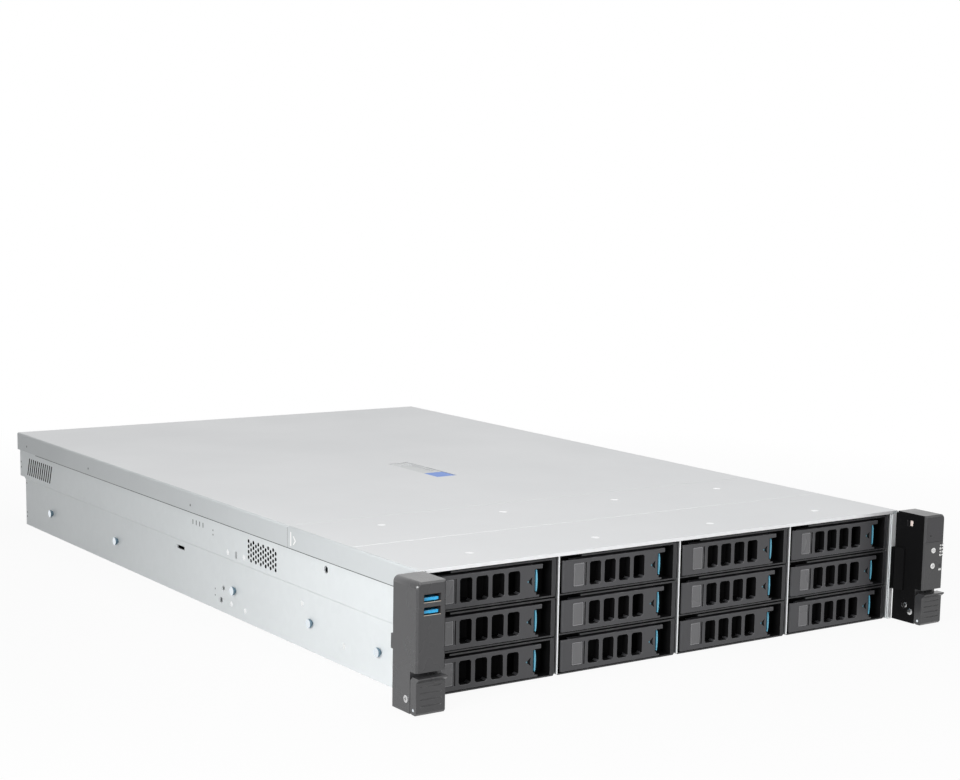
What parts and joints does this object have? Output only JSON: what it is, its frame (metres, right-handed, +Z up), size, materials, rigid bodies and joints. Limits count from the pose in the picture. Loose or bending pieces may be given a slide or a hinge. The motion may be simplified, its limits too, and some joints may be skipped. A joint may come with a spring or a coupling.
{
  "type": "rack server",
  "caption": "Two-unit rack server with front drive bays in swing-lever carriers, rack ears, a two-part top cover with a flip latch, internal fans and plug-in power supplies.",
  "frame": {"origin": "middle of the footprint at the underside of the chassis", "axes": "+X to the server's right seen from the front, +Y to the rear, +Z up"},
  "size_m": [0.484, 0.7574, 0.0865],
  "materials": {
    "cover_steel": "satin galvanised look",
    "chassis_steel": "zinc plated",
    "cage_steel": "zinc plated",
    "ear_plastic": "fine texture",
    "carrier_plastic": "matte",
    "lever_plastic": "satin",
    "release_plastic": "satin",
    "latch_plastic": "satin",
    "port_shell": "plated",
    "button_plastic": "satin",
    "lens_plastic": "smooth",
    "board_laminate": "satin",
    "fan_plastic": "matte",
    "sink_metal": "milled",
    "supply_metal": "satin",
    "stud_steel": "plated"
  },
  "bodies": {
    "chassis": {"chassis_base": "chassis_steel", "drive_cage": "cage_steel", "front_cover": "cover_steel", "rear_wall": "cage_steel", "left_ear": "ear_plastic", "right_ear": "ear_plastic", "usb_ports": "port_shell", "status_lights": "lens_plastic", "backplane": "board_laminate", "fan_housings": "fan_plastic", "mainboard": "board_laminate", "heatsinks": "sink_metal", "fasteners": "stud_steel"},
    "carrier_1": {"carrier_1": "carrier_plastic"},
    "carrier_lever_1": {"carrier_lever_1": "lever_plastic"},
    "carrier_release_1": {"carrier_release_1": "release_plastic"},
    "carrier_2": {"carrier_2": "carrier_plastic"},
    "carrier_lever_2": {"carrier_lever_2": "lever_plastic"},
    "carrier_release_2": {"carrier_release_2": "release_plastic"},
    "carrier_3": {"carrier_3": "carrier_plastic"},
    "carrier_lever_3": {"carrier_lever_3": "lever_plastic"},
    "carrier_release_3": {"carrier_release_3": "release_plastic"},
    "carrier_4": {"carrier_4": "carrier_plastic"},
    "carrier_lever_4": {"carrier_lever_4": "lever_plastic"},
    "carrier_release_4": {"carrier_release_4": "release_plastic"},
    "carrier_5": {"carrier_5": "carrier_plastic"},
    "carrier_lever_5": {"carrier_lever_5": "lever_plastic"},
    "carrier_release_5": {"carrier_release_5": "release_plastic"},
    "carrier_6": {"carrier_6": "carrier_plastic"},
    "carrier_lever_6": {"carrier_lever_6": "lever_plastic"},
    "carrier_release_6": {"carrier_release_6": "release_plastic"},
    "carrier_7": {"carrier_7": "carrier_plastic"},
    "carrier_lever_7": {"carrier_lever_7": "lever_plastic"},
    "carrier_release_7": {"carrier_release_7": "release_plastic"},
    "carrier_8": {"carrier_8": "carrier_plastic"},
    "carrier_lever_8": {"carrier_lever_8": "lever_plastic"},
    "carrier_release_8": {"carrier_release_8": "release_plastic"},
    "carrier_9": {"carrier_9": "carrier_plastic"},
    "carrier_lever_9": {"carrier_lever_9": "lever_plastic"},
    "carrier_release_9": {"carrier_release_9": "release_plastic"},
    "carrier_10": {"carrier_10": "carrier_plastic"},
    "carrier_lever_10": {"carrier_lever_10": "lever_plastic"},
    "carrier_release_10": {"carrier_release_10": "release_plastic"},
    "carrier_11": {"carrier_11": "carrier_plastic"},
    "carrier_lever_11": {"carrier_lever_11": "lever_plastic"},
    "carrier_release_11": {"carrier_release_11": "release_plastic"},
    "carrier_12": {"carrier_12": "carrier_plastic"},
    "carrier_lever_12": {"carrier_lever_12": "lever_plastic"},
    "carrier_release_12": {"carrier_release_12": "release_plastic"},
    "left_ear_lever": {"left_ear_lever": "ear_plastic"},
    "right_ear_lever": {"right_ear_lever": "ear_plastic"},
    "power_button": {"power_button": "button_plastic"},
    "id_button": {"id_button": "button_plastic"},
    "rear_cover": {"rear_cover": "cover_steel"},
    "cover_latch": {"cover_latch": "latch_plastic"},
    "fan_rotor_1": {"fan_rotor_1": "fan_plastic"},
    "fan_rotor_2": {"fan_rotor_2": "fan_plastic"},
    "fan_rotor_3": {"fan_rotor_3": "fan_plastic"},
    "power_supply_1": {"power_supply_1": "supply_metal"},
    "power_supply_2": {"power_supply_2": "supply_metal"}
  },
  "joints": [
    {"name": "left_ear_lever_hinge", "type": "hinge", "parent": "chassis", "child": "left_ear_lever", "pos_m": [-0.2303, -0.3721, 0.0034], "axis": [1, 0, 0], "range_deg": [0, 80], "stiffness_Nm_per_rad": 0.05, "springref_deg": -17.19},
    {"name": "right_ear_lever_hinge", "type": "hinge", "parent": "chassis", "child": "right_ear_lever", "pos_m": [0.2303, -0.3721, 0.0034], "axis": [1, 0, 0], "range_deg": [0, 80], "stiffness_Nm_per_rad": 0.05, "springref_deg": -17.19},
    {"name": "power_button_push", "type": "slide", "parent": "chassis", "child": "power_button", "axis": [0, 1, 0], "range_m": [0, 0.001], "stiffness_N_per_m": 900, "springref_m": -0.001},
    {"name": "id_button_push", "type": "slide", "parent": "chassis", "child": "id_button", "axis": [0, 1, 0], "range_m": [0, 0.001], "stiffness_N_per_m": 900, "springref_m": -0.001},
    {"name": "rear_cover_lift", "type": "slide", "parent": "chassis", "child": "rear_cover", "axis": [0, 0, 1], "range_m": [0, 0.15]},
    {"name": "cover_latch_hinge", "type": "hinge", "parent": "rear_cover", "child": "cover_latch", "pos_m": [0, 0.0358, 0.0823], "axis": [-1, 0, 0], "range_deg": [0, 70]},
    {"name": "fan_spin_1", "type": "hinge", "parent": "chassis", "child": "fan_rotor_1", "pos_m": [-0.136, -0.1383, 0.0415], "axis": [0, 1, 0], "continuous": true},
    {"name": "fan_spin_2", "type": "hinge", "parent": "chassis", "child": "fan_rotor_2", "pos_m": [0, -0.1383, 0.0415], "axis": [0, 1, 0], "continuous": true},
    {"name": "fan_spin_3", "type": "hinge", "parent": "chassis", "child": "fan_rotor_3", "pos_m": [0.136, -0.1383, 0.0415], "axis": [0, 1, 0], "continuous": true},
    {"name": "power_supply_1_slide", "type": "slide", "parent": "chassis", "child": "power_supply_1", "axis": [0, 1, 0], "range_m": [0, 0.19]},
    {"name": "power_supply_2_slide", "type": "slide", "parent": "chassis", "child": "power_supply_2", "axis": [0, 1, 0], "range_m": [0, 0.19]},
    {"name": "carrier_slide_1", "type": "slide", "parent": "chassis", "child": "carrier_1", "axis": [0, -1, 0], "range_m": [0, 0.17]},
    {"name": "lever_hinge_1", "type": "hinge", "parent": "carrier_1", "child": "carrier_lever_1", "pos_m": [-0.2068, -0.3391, 0.0686], "axis": [0, 0, -1], "range_deg": [0, 65]},
    {"name": "release_push_1", "type": "slide", "parent": "carrier_lever_1", "child": "carrier_release_1", "axis": [-1, 0, 0], "range_m": [0, 0.001], "stiffness_N_per_m": 400, "springref_m": -0.001},
    {"name": "carrier_slide_2", "type": "slide", "parent": "chassis", "child": "carrier_2", "axis": [0, -1, 0], "range_m": [0, 0.17]},
    {"name": "lever_hinge_2", "type": "hinge", "parent": "carrier_2", "child": "carrier_lever_2", "pos_m": [-0.0995, -0.3391, 0.0686], "axis": [0, 0, -1], "range_deg": [0, 65]},
    {"name": "release_push_2", "type": "slide", "parent": "carrier_lever_2", "child": "carrier_release_2", "axis": [-1, 0, 0], "range_m": [0, 0.001], "stiffness_N_per_m": 400, "springref_m": -0.001},
    {"name": "carrier_slide_3", "type": "slide", "parent": "chassis", "child": "carrier_3", "axis": [0, -1, 0], "range_m": [0, 0.17]},
    {"name": "lever_hinge_3", "type": "hinge", "parent": "carrier_3", "child": "carrier_lever_3", "pos_m": [0.0078, -0.3391, 0.0686], "axis": [0, 0, -1], "range_deg": [0, 65]},
    {"name": "release_push_3", "type": "slide", "parent": "carrier_lever_3", "child": "carrier_release_3", "axis": [-1, 0, 0], "range_m": [0, 0.001], "stiffness_N_per_m": 400, "springref_m": -0.001},
    {"name": "carrier_slide_4", "type": "slide", "parent": "chassis", "child": "carrier_4", "axis": [0, -1, 0], "range_m": [0, 0.17]},
    {"name": "lever_hinge_4", "type": "hinge", "parent": "carrier_4", "child": "carrier_lever_4", "pos_m": [0.1151, -0.3391, 0.0686], "axis": [0, 0, -1], "range_deg": [0, 65]},
    {"name": "release_push_4", "type": "slide", "parent": "carrier_lever_4", "child": "carrier_release_4", "axis": [-1, 0, 0], "range_m": [0, 0.001], "stiffness_N_per_m": 400, "springref_m": -0.001},
    {"name": "carrier_slide_5", "type": "slide", "parent": "chassis", "child": "carrier_5", "axis": [0, -1, 0], "range_m": [0, 0.17]},
    {"name": "lever_hinge_5", "type": "hinge", "parent": "carrier_5", "child": "carrier_lever_5", "pos_m": [-0.2068, -0.3391, 0.0407], "axis": [0, 0, -1], "range_deg": [0, 65]},
    {"name": "release_push_5", "type": "slide", "parent": "carrier_lever_5", "child": "carrier_release_5", "axis": [-1, 0, 0], "range_m": [0, 0.001], "stiffness_N_per_m": 400, "springref_m": -0.001},
    {"name": "carrier_slide_6", "type": "slide", "parent": "chassis", "child": "carrier_6", "axis": [0, -1, 0], "range_m": [0, 0.17]},
    {"name": "lever_hinge_6", "type": "hinge", "parent": "carrier_6", "child": "carrier_lever_6", "pos_m": [-0.0995, -0.3391, 0.0407], "axis": [0, 0, -1], "range_deg": [0, 65]},
    {"name": "release_push_6", "type": "slide", "parent": "carrier_lever_6", "child": "carrier_release_6", "axis": [-1, 0, 0], "range_m": [0, 0.001], "stiffness_N_per_m": 400, "springref_m": -0.001},
    {"name": "carrier_slide_7", "type": "slide", "parent": "chassis", "child": "carrier_7", "axis": [0, -1, 0], "range_m": [0, 0.17]},
    {"name": "lever_hinge_7", "type": "hinge", "parent": "carrier_7", "child": "carrier_lever_7", "pos_m": [0.0078, -0.3391, 0.0407], "axis": [0, 0, -1], "range_deg": [0, 65]},
    {"name": "release_push_7", "type": "slide", "parent": "carrier_lever_7", "child": "carrier_release_7", "axis": [-1, 0, 0], "range_m": [0, 0.001], "stiffness_N_per_m": 400, "springref_m": -0.001},
    {"name": "carrier_slide_8", "type": "slide", "parent": "chassis", "child": "carrier_8", "axis": [0, -1, 0], "range_m": [0, 0.17]},
    {"name": "lever_hinge_8", "type": "hinge", "parent": "carrier_8", "child": "carrier_lever_8", "pos_m": [0.1151, -0.3391, 0.0407], "axis": [0, 0, -1], "range_deg": [0, 65]},
    {"name": "release_push_8", "type": "slide", "parent": "carrier_lever_8", "child": "carrier_release_8", "axis": [-1, 0, 0], "range_m": [0, 0.001], "stiffness_N_per_m": 400, "springref_m": -0.001},
    {"name": "carrier_slide_9", "type": "slide", "parent": "chassis", "child": "carrier_9", "axis": [0, -1, 0], "range_m": [0, 0.17]},
    {"name": "lever_hinge_9", "type": "hinge", "parent": "carrier_9", "child": "carrier_lever_9", "pos_m": [-0.2068, -0.3391, 0.0128], "axis": [0, 0, -1], "range_deg": [0, 65]},
    {"name": "release_push_9", "type": "slide", "parent": "carrier_lever_9", "child": "carrier_release_9", "axis": [-1, 0, 0], "range_m": [0, 0.001], "stiffness_N_per_m": 400, "springref_m": -0.001},
    {"name": "carrier_slide_10", "type": "slide", "parent": "chassis", "child": "carrier_10", "axis": [0, -1, 0], "range_m": [0, 0.17]},
    {"name": "lever_hinge_10", "type": "hinge", "parent": "carrier_10", "child": "carrier_lever_10", "pos_m": [-0.0995, -0.3391, 0.0128], "axis": [0, 0, -1], "range_deg": [0, 65]},
    {"name": "release_push_10", "type": "slide", "parent": "carrier_lever_10", "child": "carrier_release_10", "axis": [-1, 0, 0], "range_m": [0, 0.001], "stiffness_N_per_m": 400, "springref_m": -0.001},
    {"name": "carrier_slide_11", "type": "slide", "parent": "chassis", "child": "carrier_11", "axis": [0, -1, 0], "range_m": [0, 0.17]},
    {"name": "lever_hinge_11", "type": "hinge", "parent": "carrier_11", "child": "carrier_lever_11", "pos_m": [0.0078, -0.3391, 0.0128], "axis": [0, 0, -1], "range_deg": [0, 65]},
    {"name": "release_push_11", "type": "slide", "parent": "carrier_lever_11", "child": "carrier_release_11", "axis": [-1, 0, 0], "range_m": [0, 0.001], "stiffness_N_per_m": 400, "springref_m": -0.001},
    {"name": "carrier_slide_12", "type": "slide", "parent": "chassis", "child": "carrier_12", "axis": [0, -1, 0], "range_m": [0, 0.17]},
    {"name": "lever_hinge_12", "type": "hinge", "parent": "carrier_12", "child": "carrier_lever_12", "pos_m": [0.1151, -0.3391, 0.0128], "axis": [0, 0, -1], "range_deg": [0, 65]},
    {"name": "release_push_12", "type": "slide", "parent": "carrier_lever_12", "child": "carrier_release_12", "axis": [-1, 0, 0], "range_m": [0, 0.001], "stiffness_N_per_m": 400, "springref_m": -0.001}
  ]
}
